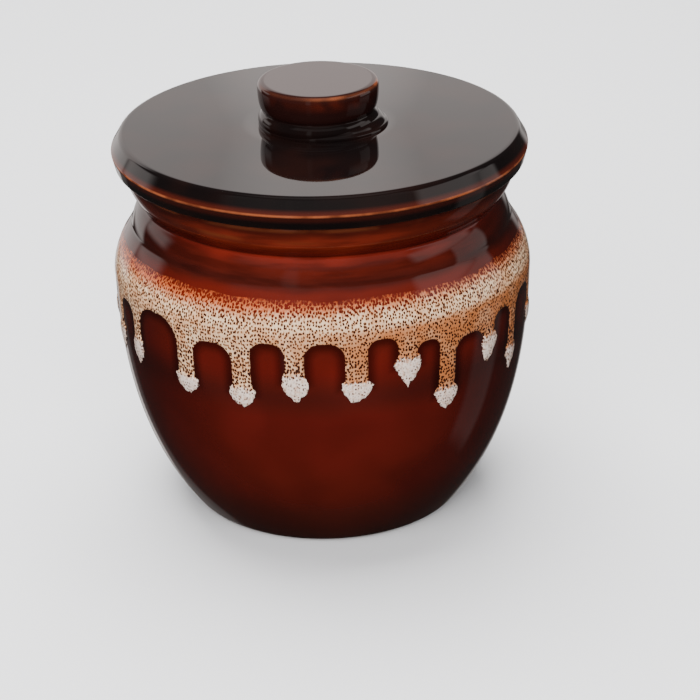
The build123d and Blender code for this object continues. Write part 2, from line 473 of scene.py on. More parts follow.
@dataclass(frozen=True)
class Number:
    """A number that a material works out at each place; arithmetic with it adds the nodes for the sum."""

    socket: Socket

    @property
    def tree(self) -> bpy.types.NodeTree:
        """The node tree that the number is worked out in."""
        return self.socket.id_data

    def apply(self, operation: str, *others: "Number | Socket | float") -> "Number":
        """The result of a maths operation on this number and any others."""
        inputs = dict(enumerate((self, *others)))
        return Number(add_node(self.tree, "Math", {"operation": operation}, inputs).outputs[0])

    def __add__(self, other: "Number | float") -> "Number":
        """The sum."""
        return self.apply("ADD", other)

    def __sub__(self, other: "Number | float") -> "Number":
        """The difference."""
        return self.apply("SUBTRACT", other)

    def __rsub__(self, other: float) -> "Number":
        """A plain number less this one."""
        return self * -1.0 + other

    def __mul__(self, other: "Number | float") -> "Number":
        """The product."""
        return self.apply("MULTIPLY", other)

    def swing(self, reach: float) -> "Number":
        """This number, from 0 to 1, spread over a reach that has its middle at 0."""
        return (self - 0.5) * reach

    def hypot(self, other: "Number") -> "Number":
        """The long side of a right triangle that has this and another number as its short sides."""
        return (self * self + other * other).apply("SQRT")

    def ramp(self, span: Span) -> "Number":
        """Turns a span of this number into another, smoothly, and held at both ends."""
        settings, inputs = {"interpolation_type": "SMOOTHSTEP"}, dict(enumerate((self, *span)))
        return Number(add_node(self.tree, "MapRange", settings, inputs).outputs[0])

    def mix(self, first: Socket | str, second: Socket | str) -> Socket:
        """Mixes two colours, with this number as the share of the second."""
        inputs = {0: self, 6: first, 7: second}
        return add_node(self.tree, "Mix", {"data_type": "RGBA"}, inputs).outputs[2]

    def shade(self, colour: Socket) -> Socket:
        """Multiplies a colour by this number."""
        inputs = {0: colour, "Scale": self}
        return add_node(self.tree, "VectorMath", {"operation": "SCALE"}, inputs).outputs[0]

    def stops(self, stops: list[tuple[float, str]]) -> Socket:
        """Turns this number, from 0 to 1, into a colour that passes through some stops.

        Args:
            stops: Places from 0 to 1, each with the sRGB hex colour there.

        Returns:
            The colour.
        """
        node = add_node(self.tree, "ValToRGB", inputs={0: self})
        ramp = node.color_ramp
        ramp.interpolation = "EASE"
        while len(ramp.elements) < len(stops):
            ramp.elements.new(0.5)
        for element, (place, colour) in zip(ramp.elements, stops):
            element.position = place
            element.color = linear(colour)
        return node.outputs[0]


@dataclass(frozen=True)
class Bench:
    """A material's tree, with the places and patterns that the glazes share."""

    tree: bpy.types.NodeTree

    def place(self) -> Socket:
        """Object coordinates, in metres."""
        return add_node(self.tree, "TexCoord").outputs["Object"]

    def along(self, axis: str) -> Number:
        """One of the object coordinates, in millimetres."""
        split = add_node(self.tree, "SeparateXYZ", inputs={0: self.place()})
        return Number(split.outputs[axis]) * (1 / MM)

    def height(self) -> Number:
        """Height above the foot, in millimetres."""
        return self.along("Z")

    def radius(self) -> Number:
        """Distance from the axis, in millimetres."""
        return self.along("X").hypot(self.along("Y"))

    def stored(self, name: str) -> Number:
        """A number stored on the mesh."""
        return Number(add_node(self.tree, "Attribute", {"attribute_name": name}).outputs["Fac"])

    def noise(self, grain: Grain) -> Number:
        """Draws a noise pattern.

        Args:
            grain: Its size and character.

        Returns:
            The noise, from 0 to 1.
        """
        squashed = {"Vector": self.place(), "Scale": (1, 1, grain.squash)}
        inputs = {
            "Vector": add_node(self.tree, "Mapping", inputs=squashed).outputs[0],
            "Scale": 1 / (grain.size * MM),
            "Detail": grain.detail,
            "Roughness": grain.rough,
        }
        return Number(add_node(self.tree, "TexNoise", inputs=inputs).outputs[0])

    def unrolled(self, radius: float, squash: float) -> Socket:
        """The place on the wall as if it were unrolled flat, so that flat patterns lie on it.

        Args:
            radius: The radius that the turn is measured at, in millimetres.
            squash: What the height is multiplied by.

        Returns:
            The place, in millimetres, with the seam at the back.
        """
        turn = self.along("X").apply("ARCTAN2", self.along("Y") * -1.0)
        flat = {0: turn * radius, 1: self.height() * squash}
        return add_node(self.tree, "CombineXYZ", inputs=flat).outputs[0]

    def near(self, edge: Point, ring: Ring) -> Number:
        """Marks a ring along a turned edge.

        Args:
            edge: The edge's radius and height.
            ring: Where the ring lies from there.

        Returns:
            The ring's strength on it, falling to 0 at its reach.
        """
        across = self.radius() - (edge[0] - ring.inwards)
        up = self.height() - (edge[1] + ring.rise)
        return across.hypot(up).ramp(Span(ring.reach, 0.0, 0.0, ring.share))


# Finishes


@dataclass(frozen=True)
class IronGlaze:
    """Iron-saturated stoneware glaze: glassy and dark red-brown, redder on the neck and darker at the foot.

    It gives the eye slow drifts of light and dark, faint throwing rings on the neck, a dark seam round the
    poured glaze, and painted shade: a brighter red where the wall faces the camera, a darker red where it
    turns away.
    """

    by_height: tuple[tuple[float, str], ...] = (
        (0.0, "#44190f"), (9.0, "#4b180f"), (18.0, "#54160e"),
        (30.0, "#54150e"), (39.5, "#52140e"), (46.0, "#43130e"),
        (53.5, "#58150e"), (60.0, "#52150d"), (70.3, "#58170e"),
        (72.6, "#3f140e"), (75.8, "#4e160e"), (78.6, "#6a1d13"),
        (82.6, "#7c2817"), (86.6, "#46160e"), (95.0, "#2c100a"),
    )
    tallest: float = 100.0
    level_grain: Grain = Grain(9.0, 1.0)
    level_swing: float = 2.0
    drift_grain: Grain = Grain(17.0, 1.0)
    drift: Span = Span(0.36, 0.64, 0.76, 0.96)
    ring_grain: Grain = Grain(15.0, 2.5, 8.0)
    rings: Span = Span(0.4, 0.6, 0.0, 0.32)
    rings_above: Span = Span(70.0, 73.0)
    between_rings: float = 1.1
    # Painted shade: scales the colour up where the wall faces the camera and down where it turns away
    slant: Span = Span(0.08, 0.7, 1.2, 0.5)
    pour_seam: Span = Span(0.0, 2.9, 0.36, 1.0)
    breaking: str = "#7d4226"
    ior: float = 1.52
    roughness: float = 0.04

    def colour(self, bench: Bench) -> Socket:
        """Works out the colour, which the edges of the pieces that lie on this glaze fade into.

        Args:
            bench: The material's bench.

        Returns:
            The colour.
        """
        level = bench.height() + bench.noise(self.level_grain).swing(self.level_swing)
        stops = [(height / self.tallest, colour) for height, colour in self.by_height]
        rings = bench.noise(self.ring_grain).ramp(self.rings) * bench.height().ramp(self.rings_above)
        facing = Number(add_node(bench.tree, "LayerWeight").outputs["Facing"])
        shade = bench.noise(self.drift_grain).ramp(self.drift) * (self.between_rings - rings)
        # Painted shade: the facing ramp darkens the wall where it turns away from the camera
        shade = shade * facing.ramp(self.slant) * bench.stored("from_pour").ramp(self.pour_seam)
        return shade.shade((level * (1 / self.tallest)).stops(stops))


@dataclass(frozen=True)
class PouredGlaze:
    """Ash and rutile glaze poured over the iron glaze, crawled into short upright specks where iron shows.

    It gives the eye cream clouded with tan, dark specks with brown haloes, and orange along its top edge
    and, towards the right, where it ran down thin.
    """

    cream: str = "#fddbb4"
    tan: str = "#e8b48a"
    vein: str = "#cb8e60"
    ember: str = "#c2562a"
    # Orange laid over the band's lower part, more of it towards the right
    thin: str = "#c07342"
    halo: str = "#b87245"
    speck: str = "#2e110a"
    red_speck: str = "#6b170c"
    radius: float = 49.5
    speck_spacing: float = 0.66
    speck_squash: float = 0.74
    speck_scatter: float = 0.75
    clouds: Grain = Grain(5.0)
    tan_share: Span = Span(0.4, 0.72)
    veins: Grain = Grain(0.55, 2.5, 0.74, 0.65)
    vein_share: Span = Span(0.5, 0.68, 0.0, 0.7)
    low_orange_swing: float = 3.0
    low_orange_level: Span = Span(63.9, 61.6)
    low_orange_right: Span = Span(-28.0, 20.0, 0.15, 1.0)
    low_orange_clouds: Span = Span(0.3, 0.6, 0.75, 1.0)
    top_left: Span = Span(-30.0, 30.0, 1.5, 0.0)
    top_veins: float = 3.0
    top_level: Span = Span(67.0, 71.4)
    halo_share: Span = Span(0.02, 0.2, 0.8, 0.0)
    speck_share: Span = Span(-0.06, 0.05, 1.0, 0.0)
    crawl: Grain = Grain(0.3, 1.0, 0.74)
    crawl_swing: float = 0.6
    speck_size: float = 0.29
    size_grain: Grain = Grain(1.7, 1.0)
    size_swing: float = 0.36
    size_at_top: Span = Span(65.5, 69.6, 0.0, 0.16)
    size_on_stems: Span = Span(60.0, 53.0, 0.0, 0.07)
    ior: float = 1.52
    roughness: float = 0.09

    def colour(self, bench: Bench) -> Socket:
        """Works out the colour, from the clouds up to the specks that lie on them.

        Args:
            bench: The material's bench.

        Returns:
            The colour.
        """
        cloud, fine, right = bench.noise(self.clouds), bench.noise(self.veins), bench.along("X")
        pale = cloud.ramp(self.tan_share).mix(self.cream, self.tan)
        pale = fine.ramp(self.vein_share).mix(pale, self.vein)
        # The orange share: below about 63 mm, growing towards the right, in cloudy patches
        low = (bench.height() + cloud.swing(self.low_orange_swing)).ramp(self.low_orange_level)
        low = low * right.ramp(self.low_orange_right) * cloud.ramp(self.low_orange_clouds)
        high = bench.height() + right.ramp(self.top_left) + fine * self.top_veins
        top = high.ramp(self.top_level)
        warm = top.mix(low.mix(pale, self.thin), self.ember)
        rim = self.cell_share(bench) - self.speck_radius(bench)
        ringed = rim.ramp(self.halo_share).mix(warm, self.halo)
        return rim.ramp(self.speck_share).mix(ringed, top.mix(self.speck, self.red_speck))

    def cell_share(self, bench: Bench) -> Number:
        """Measures the distance from the middle of the nearest speck, roughened a little.

        Args:
            bench: The material's bench.

        Returns:
            The distance, as a share of the specks' spacing.
        """
        inputs = {
            "Vector": bench.unrolled(self.radius, self.speck_squash),
            "Scale": 1 / self.speck_spacing,
            "Randomness": self.speck_scatter,
        }
        cells = add_node(bench.tree, "TexVoronoi", {"voronoi_dimensions": "2D"}, inputs)
        return Number(cells.outputs["Distance"]) + bench.noise(self.crawl).swing(self.crawl_swing)

    def speck_radius(self, bench: Bench) -> Number:
        """Radius of the specks as a share of their spacing: larger near the top edge and on the stems."""
        varied = bench.noise(self.size_grain).swing(self.size_swing) + self.speck_size
        return varied + (bench.height().ramp(self.size_at_top) + bench.height().ramp(self.size_on_stems))


@dataclass(frozen=True)
class DropGlaze:
    """The poured glaze where it gathered at the end of a run: thick, opaque and creamy white.

    It gives the eye soft pinkish shading, and dark pits where the gathered glaze boiled.
    """

    white: str = "#ffe9db"
    shade: str = "#e8c0a8"
    pit: str = "#5b3524"
    clouds: Grain = Grain(0.8, 2.5)
    shaded: Span = Span(0.44, 0.7)
    pits: Span = Span(0.33, 0.2)
    pit_grain: Grain = Grain(1.5, 1.0)
    pitted: Span = Span(0.42, 0.58, 0.25, 1.0)
    roughness: float = 0.08

    def colour(self, bench: Bench, cell_share: Number) -> Socket:
        """Works out the colour.

        Args:
            bench: The material's bench.
            cell_share: The distance from the middle of the nearest speck, as a share of their spacing.

        Returns:
            The colour.
        """
        base = bench.noise(self.clouds).ramp(self.shaded).mix(self.white, self.shade)
        pits = cell_share.ramp(self.pits) * bench.noise(self.pit_grain).ramp(self.pitted)
        return pits.mix(base, self.pit)


@dataclass(frozen=True)
class DarkGlaze:
    """The iron glaze on the lid: thicker, nearly black, and orange-brown where it ran thin on edges."""

    black: str = "#0c0808"
    brown: str = "#170b09"
    side: str = "#210e0c"
    red: str = "#4a180e"
    breaking: str = "#a85c38"
    drift_grain: Grain = Grain(16.0, 1.5)
    drift: Span = Span(0.38, 0.7)
    ior: float = 1.6
    roughness: float = 0.03

    def colour(self, bench: Bench) -> Socket:
        """The colour away from the edges: black that drifts to brown."""
        return bench.noise(self.drift_grain).ramp(self.drift).mix(self.black, self.brown)


@dataclass(frozen=True)
class BareClay:
    """Stoneware body wiped clean of glaze on the foot ring: dry, matt and speckled with grog."""

    toasted: str = "#a9744c"
    dark: str = "#6e4329"
    grog_grain: Grain = Grain(0.7, 3.0)
    grog: Span = Span(0.4, 0.68)
    roughness: float = 0.85

    def colour(self, bench: Bench) -> Socket:
        """The clay's colour, with its grog."""
        return bench.noise(self.grog_grain).ramp(self.grog).mix(self.toasted, self.dark)


class Look(NamedTuple):
    """What a dressed piece gives the shader."""

    colour: Socket
    roughness: Number | float
    ior: float


class Role(NamedTuple):
    """A piece's name, its body, its slot, the solid it stands for, its material, and the glaze's swell."""

    name: str
    body: Body
    slot: str
    node: str
    finish: str
    swell: float = 0.0


class Piece:
    """A visible piece of the jar: each kind has a role, and methods that make its mesh and its look."""

    role: ClassVar[Role]
    swell_grain: ClassVar[Grain] = Grain(6.0, 1.0)

    def mesh(self) -> Solid:
        """Makes the shape."""
        raise NotImplementedError

    def dress(self, bench: Bench) -> Look:
        """Works out the look."""
        raise NotImplementedError

    def material(self) -> bpy.types.Material:
        """Makes the glossy ceramic material, with the glaze's slow swell in millimetres as bump.

        Returns:
            The material.
        """
        made = bpy.data.materials.new(self.role.finish)
        tree = new_tree(made)
        bench = Bench(tree)
        look = self.dress(bench)
        inputs = {"Base Color": look.colour, "Roughness": look.roughness, "IOR": look.ior}
        shader = add_node(tree, "BsdfPrincipled", inputs=inputs)
        if self.role.swell > 0:
            swell = {"Height": bench.noise(self.swell_grain), "Distance": self.role.swell * MM}
            bump = add_node(tree, "Bump", inputs=swell)
            tree.links.new(bump.outputs[0], shader.inputs["Normal"])
        add_node(tree, "OutputMaterial", inputs={"Surface": shader.outputs[0]})
        return made

    def build(self) -> None:
        """Makes the piece, fixes it to its body and hides the solid that it stands for."""
        piece, role = self.mesh(), self.role
        piece.data.materials.append(self.material())
        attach(piece, role.body.value)
        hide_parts(role.node)
        triangles = sum(len(face.vertices) - 2 for face in piece.data.polygons)
        log.info("%s rides on %s, %d triangles", piece.name, role.body.value, triangles)


# The pot


@dataclass
class Pot(Piece):
    """The turned pot: its outside from the foot to the rim, its hollow and its foot ring."""

    role: ClassVar[Role] = Role("jar_pot", Body.POT, "iron_glaze", "jar_body", "iron_glaze_fired", 0.01)

    glaze: IronGlaze
    clay: BareClay
    foot_radius: float = 31.0
    wall_foot: Point = (34.3, 1.2)
    wall_foot_slope: float = 53.0
    wall_foot_reach: float = 15.0
    wall_belly_reach: float = 30.0
    belly: Point = (50.5, 60.4)
    shoulder: Point = (45.9, 72.3)
    shoulder_reach: float = 6.8
    shoulder_round: float = 0.5
    lower_roll: Point = (44.9, 75.4)
    waist: Point = (43.0, 78.3)
    waist_round: float = 0.7
    collar: Point = (46.0, 82.6)
    rim: Point = (47.2, 87.4)
    rim_round: float = 1.0
    wall: float = 4.0
    floor: float = 6.2
    floor_round: float = 3.0
    mouth_radius: float = 38.8
    mouth_flare: float = 1.4
    mouth_round: float = 1.2
    neck_inside: Point = (76.0, 6.5)
    ring_width: float = 5.0
    ring_round: float = 0.6
    recess: float = 1.6
    recess_round: float = 0.5
    steps: int = 360

    # The sponged edge of the glaze on the foot ring
    sponge_grain: Grain = Grain(4.0)
    sponge_wobble: float = 0.9
    bare_below: Span = Span(0.25, 0.05)
    bare_outside: Span = Span(25.6, 26.2)

    # Where the glaze ran thin and breaks brown: the rim's crest and the roll of the collar
    crest: Ring = Ring(0.0, -1.0, 1.0)
    crest_grain: Grain = Grain(9.0)
    crest_share: Span = Span(0.4, 0.62, 0.0, 0.5)
    roll: Ring = Ring(0.0, 0.6, 1.2)
    roll_grain: Grain = Grain(17.0, 1.0)
    roll_share: Span = Span(0.46, 0.6, 0.0, 0.4)

    def foot_curve(self, foot: Point) -> list[Point]:
        """Control points of the wall from the belly down to a foot, outside or inside.

        Args:
            foot: Where the wall ends.

        Returns:
            The points after the belly's own.
        """
        slope = math.radians(self.wall_foot_slope)
        run, rise = self.wall_foot_reach * math.cos(slope), self.wall_foot_reach * math.sin(slope)
        return [(foot[0] + run, foot[1] + rise), foot]

    def wall_chain(self, steps: int = 64) -> Chain:
        """The outside of the wall from the belly down to the foot."""
        below = (self.belly[0], self.belly[1] - self.wall_belly_reach)
        return bezier(self.belly, below, *self.foot_curve(self.wall_foot), steps=steps)

    def shoulder_chain(self, steps: int = 16) -> Chain:
        """The outside of the shoulder from the belly up to the neck."""
        above = (self.belly[0], self.shoulder[1] - self.shoulder_reach)
        return bezier(self.belly, above, self.shoulder, steps=steps)

    def upright_chain(self) -> Chain:
        """The outside of the pot from the foot to the end of the shoulder."""
        return self.wall_chain()[::-1] + self.shoulder_chain()[1:]

    def inside_parts(self) -> list[tuple[Chain, float]]:
        """Draws the hollow of the pot, from the mouth down to the middle of the floor.

        Returns:
            Parts for joined().
        """
        neck_height, neck_reach = self.neck_inside
        mouth = (self.mouth_radius, neck_height)
        belly = (self.belly[0] - self.wall, self.belly[1])
        foot = (self.wall_foot[0] - self.wall, self.floor)
        above, below = (belly[0], belly[1] + neck_reach), (belly[0], belly[1] - self.wall_belly_reach)
        return [
            (bezier(mouth, (self.mouth_radius, neck_height - neck_reach), above, belly), 0),
            (bezier(belly, below, *self.foot_curve(foot), steps=24), self.floor_round),
            *spans((*foot, 0), (foot[0] / 2, self.floor, 0), (0, self.floor, 0)),
        ]

    def outline(self) -> Chain:
        """Draws the whole outline, from the middle of the underside round to the middle of the floor.

        Returns:
            The outline.
        """
        ring_inside = self.foot_radius - self.ring_width
        sole = (self.foot_radius, 0)
        edge = (self.wall_foot[0] - self.wall_foot[1] / math.tan(math.radians(self.wall_foot_slope)), 0)
        return joined(
            *spans(
                (0, self.recess, 0),
                (ring_inside / 2, self.recess, 0),
                (ring_inside, self.recess, self.recess_round),
                (ring_inside, 0, self.ring_round),
                (*sole, 0),
            ),
            (bezier(sole, edge, self.wall_foot, steps=6), 0),
            (self.wall_chain(steps=40)[::-1], 0),
            (self.shoulder_chain(steps=14), self.shoulder_round),
            (arc(self.shoulder, self.lower_roll, self.waist), self.waist_round),
            (arc(self.waist, self.collar, self.rim), self.rim_round),
            *spans(
                (*self.rim, 0),
                (self.mouth_radius + self.mouth_flare, self.rim[1], self.mouth_round),
                (self.mouth_radius, self.neck_inside[0], 0),
            ),
            *self.inside_parts(),
        )

    def radius_at(self, heights: np.ndarray) -> np.ndarray:
        """The outside radius at some heights, all in millimetres."""
        chain = np.array(self.upright_chain())
        return np.interp(heights, chain[:, 1], chain[:, 0])

    def lean_at(self, heights: np.ndarray, step: float = 0.5) -> np.ndarray:
        """How much the outside radius grows with height, at some heights."""
        return (self.radius_at(heights + step) - self.radius_at(heights - step)) / (2 * step)

    def lay(
        self, solid: Solid, turn: np.ndarray, height: np.ndarray, lean: np.ndarray, proud: np.ndarray
    ) -> None:
        """Lays the vertices of a piece on the outside of the wall.

        Args:
            solid: The piece.
            turn: How far round each vertex lies, in radians from the front towards +X.
            height: Its height on the wall, in millimetres.
            lean: How much the wall's radius grows with height there.
            proud: How far it stands off the wall, square to it.
        """
        slant = np.sqrt(1 + lean**2)
        out = self.radius_at(height) + proud / slant
        up = height - proud * lean / slant
        set_vertex_places(solid, np.column_stack([out * np.sin(turn), -out * np.cos(turn), up]))

    def mesh(self) -> Solid:
        """Turns the pot, and marks how near each place is to the poured glaze.

        Returns:
            The turned piece.
        """
        piece = turned(self.role.name, supported(self.outline()), self.steps)
        Pour(self).mark(piece)
        return piece

    def dress(self, bench: Bench) -> Look:
        """Glazes the pot all over but for the ring that it stands on, whose edge the sponge left uneven.

        Args:
            bench: The material's bench.

        Returns:
            The pot's look.
        """
        level = bench.height() - bench.noise(self.sponge_grain) * self.sponge_wobble
        bare = level.ramp(self.bare_below) * bench.radius().ramp(self.bare_outside)
        fired = self.glaze.colour(bench)
        for edge, ring, grain, share in (
            (self.rim, self.crest, self.crest_grain, self.crest_share),
            (self.collar, self.roll, self.roll_grain, self.roll_share),
        ):
            fired = (bench.near(edge, ring) * bench.noise(grain).ramp(share)).mix(fired, self.glaze.breaking)
        roughness = bare.ramp(Span(0.0, 1.0, self.glaze.roughness, self.clay.roughness))
        return Look(bare.mix(fired, self.clay.colour(bench)), roughness, self.glaze.ior)


# The poured glaze and its drops


@dataclass
class Pour:
    """Where the poured glaze lies: a band round the shoulder, cut into arches, with stems between them."""

    pot: Pot
    top: float = 70.4
    top_wander: float = 0.35
    top_period: float = 12.0
    top_seed: int = 3
    arch_height: float = 60.5
    arch_round_share: float = 0.4
    run_drop: float = 22.2
    run_width: float = 7.4
    stem_share: float = 0.78
    stem_in_bead: float = 0.1
    bead_length: float = 8.8
    bead_rise_share: float = 0.38
    seam_above: float = 3.0

    def bead_reach(self, run: Run) -> Point:
        """How far a run's drop reaches up and down from its widest place."""
        length = self.bead_length * run.bead_share
        return length * self.bead_rise_share, length * (1 - self.bead_rise_share)

    def bead_height(self, run: Run) -> float:
        """Height of the widest place of a run's drop, in millimetres."""
        return self.arch_height - self.run_drop * run.reach_share + self.bead_reach(run)[1]

    def half_stem(self, run: Run) -> float:
        """Half the angle that a stem takes up round the belly, in degrees."""
        return math.degrees(self.run_width * run.width_share * self.stem_share / 2 / self.pot.belly[0])

    def arch_gap(self, turn: np.ndarray, height: np.ndarray) -> np.ndarray:
        """Measures how far each place lies outside the nearest arch.

        Args:
            turn: Degrees from the front towards +X.
            height: Heights in millimetres.

        Returns:
            Distances in millimetres, negative inside an arch.
        """
        gap = np.full(turn.shape, np.inf)
        for run, after in zip(RUNS, RUNS[1:] + RUNS[:1]):
            start = run.turn + self.half_stem(run)
            end = after.turn + (360 if after.turn < run.turn else 0) - self.half_stem(after)
            half = math.radians(end - start) / 2 * self.pot.belly[0]
            away = np.abs(np.radians(wrapped(turn - (start + end) / 2)))
            soft = 2 * half * self.arch_round_share
            out_x = away * self.pot.belly[0] - (half - soft)
            out_y = height - (self.arch_height - self.run_drop * run.arch_share - soft)
            corner = np.hypot(np.maximum(out_x, 0), np.maximum(out_y, 0))
            gap = np.minimum(gap, corner + np.minimum(np.maximum(out_x, out_y), 0) - soft)
        return gap

    def stem_gap(self, turn: np.ndarray, height: np.ndarray) -> np.ndarray:
        """Measures how far each place lies above the end of the nearest stem.

        Args:
            turn: Degrees from the front towards +X.
            height: Heights in millimetres.

        Returns:
            Distances in millimetres.
        """
        turns = np.array([run.turn for run in RUNS])
        ends = np.array([self.bead_height(run) + self.bead_length * self.stem_in_bead for run in RUNS])
        away = np.abs(wrapped(turn[:, None] - turns[None, :]))
        return height - ends[np.argmin(away, axis=1)]

    def wander(self, turn: np.ndarray) -> np.ndarray:
        """Draws a slow smooth wander round the pot.

        Args:
            turn: Degrees from the front towards +X.

        Returns:
            The wander there, from about -1 to 1.
        """
        source = random.Random(self.top_seed)
        angle = np.radians(turn)
        orders = range(2, int(360 / self.top_period))
        waves = [(k, source.uniform(0, math.tau), source.uniform(0.4, 1)) for k in orders]
        total = sum(share * np.sin(k * angle + phase) / math.sqrt(k) for k, phase, share in waves)
        return total / max(1e-9, np.abs(total).max())

    def cover(self, turn: np.ndarray, height: np.ndarray) -> tuple[np.ndarray, np.ndarray]:
        """Measures how far inside the covered part each place lies.

        Args:
            turn: Degrees from the front towards +X.
            height: Heights in millimetres.

        Returns:
            The distance from the top edge, and from the edges of the arches and stems, in millimetres.
        """
        top = self.top + self.top_wander * self.wander(turn) - height
        return top, np.minimum(self.arch_gap(turn, height), self.stem_gap(turn, height))

    def inside(self, turn: np.ndarray, height: np.ndarray) -> np.ndarray:
        """The distance inside the nearest edge of any kind, in millimetres."""
        return np.minimum(*self.cover(turn, height))

    def mark(self, solid: Solid) -> None:
        """Stores how far each place lies from the poured glaze, where the iron glaze is darker.

        The inside of the pot has no seam, so it is marked as far away.

        Args:
            solid: A piece on the pot's wall.
        """
        places = vertex_places(solid)
        top, lower = self.cover(turns_of(places), places[:, 2])
        away = np.maximum(-lower, 2 * (self.seam_above - top))
        depth = self.pot.radius_at(places[:, 2]) - np.hypot(places[:, 0], places[:, 1])
        write_attribute(solid, "from_pour", np.where(depth > self.pot.wall / 2, self.run_drop, away))


@dataclass
class PouredSkin(Piece):
    """The skin of poured glaze on the shoulder, with the stems that ran down from it."""

    role: ClassVar[Role] = Role(
        "poured_glaze", Body.POT, "poured_glaze", "drip_glaze", "poured_ash_glaze", 0.012
    )

    pour: Pour
    iron: IronGlaze
    glaze: PouredGlaze
    low: float = 38.0
    above: float = 1.2
    depth: float = 0.22
    edge_fade: float = 1.0
    top_fade: float = 3.2
    sink: float = 0.04
    back: float = 0.3
    columns: int = 760
    rows: int = 86

    # Pulling the ragged cut edge in to the true edge
    passes: int = 3
    nudge: float = 0.05
    least_slope: float = 0.2

    # Feathered edges
    ragged: Grain = Grain(0.6, 2.0, 0.5)
    ragged_depth: float = 0.8
    side_fade: Span = Span(-0.35, 0.1)
    streaks: Grain = Grain(0.8, 2.0, 0.45)
    streak_depth: float = 4.2
    upper_fade: Span = Span(-1.9, 0.5)

    def pulled_in(self, turn: np.ndarray, height: np.ndarray) -> tuple[np.ndarray, np.ndarray]:
        """Moves the places that lie outside the pour's edge onto it.

        Args:
            turn: Degrees from the front towards +X.
            height: Heights in millimetres.

        Returns:
            The new turns and heights.
        """
        per_degree = math.radians(1) * self.pour.pot.belly[0]
        for _ in range(self.passes):
            here = self.pour.inside(turn, height)
            outside = here < 0
            slope_turn = (self.pour.inside(turn + self.nudge / per_degree, height) - here) / self.nudge
            slope_up = (self.pour.inside(turn, height + self.nudge) - here) / self.nudge
            steep = np.maximum(slope_turn**2 + slope_up**2, self.least_slope)
            turn = np.where(outside, turn - here * slope_turn / steep / per_degree, turn)
            height = np.where(outside, height - here * slope_up / steep, height)
        return turn, height

    def mesh(self) -> Solid:
        """Turns a band of the wall, cuts it to the pour's edge, and thins it to nothing there.

        Returns:
            The closed skin.
        """
        pour, pot = self.pour, self.pour.pot
        heights = np.linspace(self.low, pour.top + self.above, self.rows)
        chain = list(zip(pot.radius_at(heights).tolist(), heights.tolist()))
        piece = turned(self.role.name, chain, self.columns)
        places = vertex_places(piece)
        inside = pour.inside(turns_of(places), places[:, 2])
        corners = np.array([face.vertices[:] for face in piece.data.polygons])
        delete_faces(piece, (inside[corners] < 0).all(axis=1))
        places = vertex_places(piece)
        turn, height = self.pulled_in(turns_of(places), places[:, 2])
        top, lower = pour.cover(turn, height)
        rise = np.minimum(smooth_step(lower / self.edge_fade), smooth_step(top / self.top_fade))
        pot.lay(piece, np.radians(turn), height, pot.lean_at(height), self.depth * rise - self.sink)
        write_attribute(piece, "from_top", top)
        pour.mark(piece)
        write_attribute(piece, "from_edge", lower)
        thicken(piece, self.back)
        return piece

    def dress(self, bench: Bench) -> Look:
        """Dresses it in poured glaze whose edges feather into the iron glaze under it.

        Args:
            bench: The material's bench.

        Returns:
            The skin's look.
        """
        side = bench.stored("from_edge") - bench.noise(self.ragged) * self.ragged_depth
        upper = bench.stored("from_top") - bench.noise(self.streaks) * self.streak_depth
        share = side.ramp(self.side_fade) * upper.ramp(self.upper_fade)
        colour = share.mix(self.iron.colour(bench), self.glaze.colour(bench))
        return Look(colour, self.glaze.roughness, self.glaze.ior)


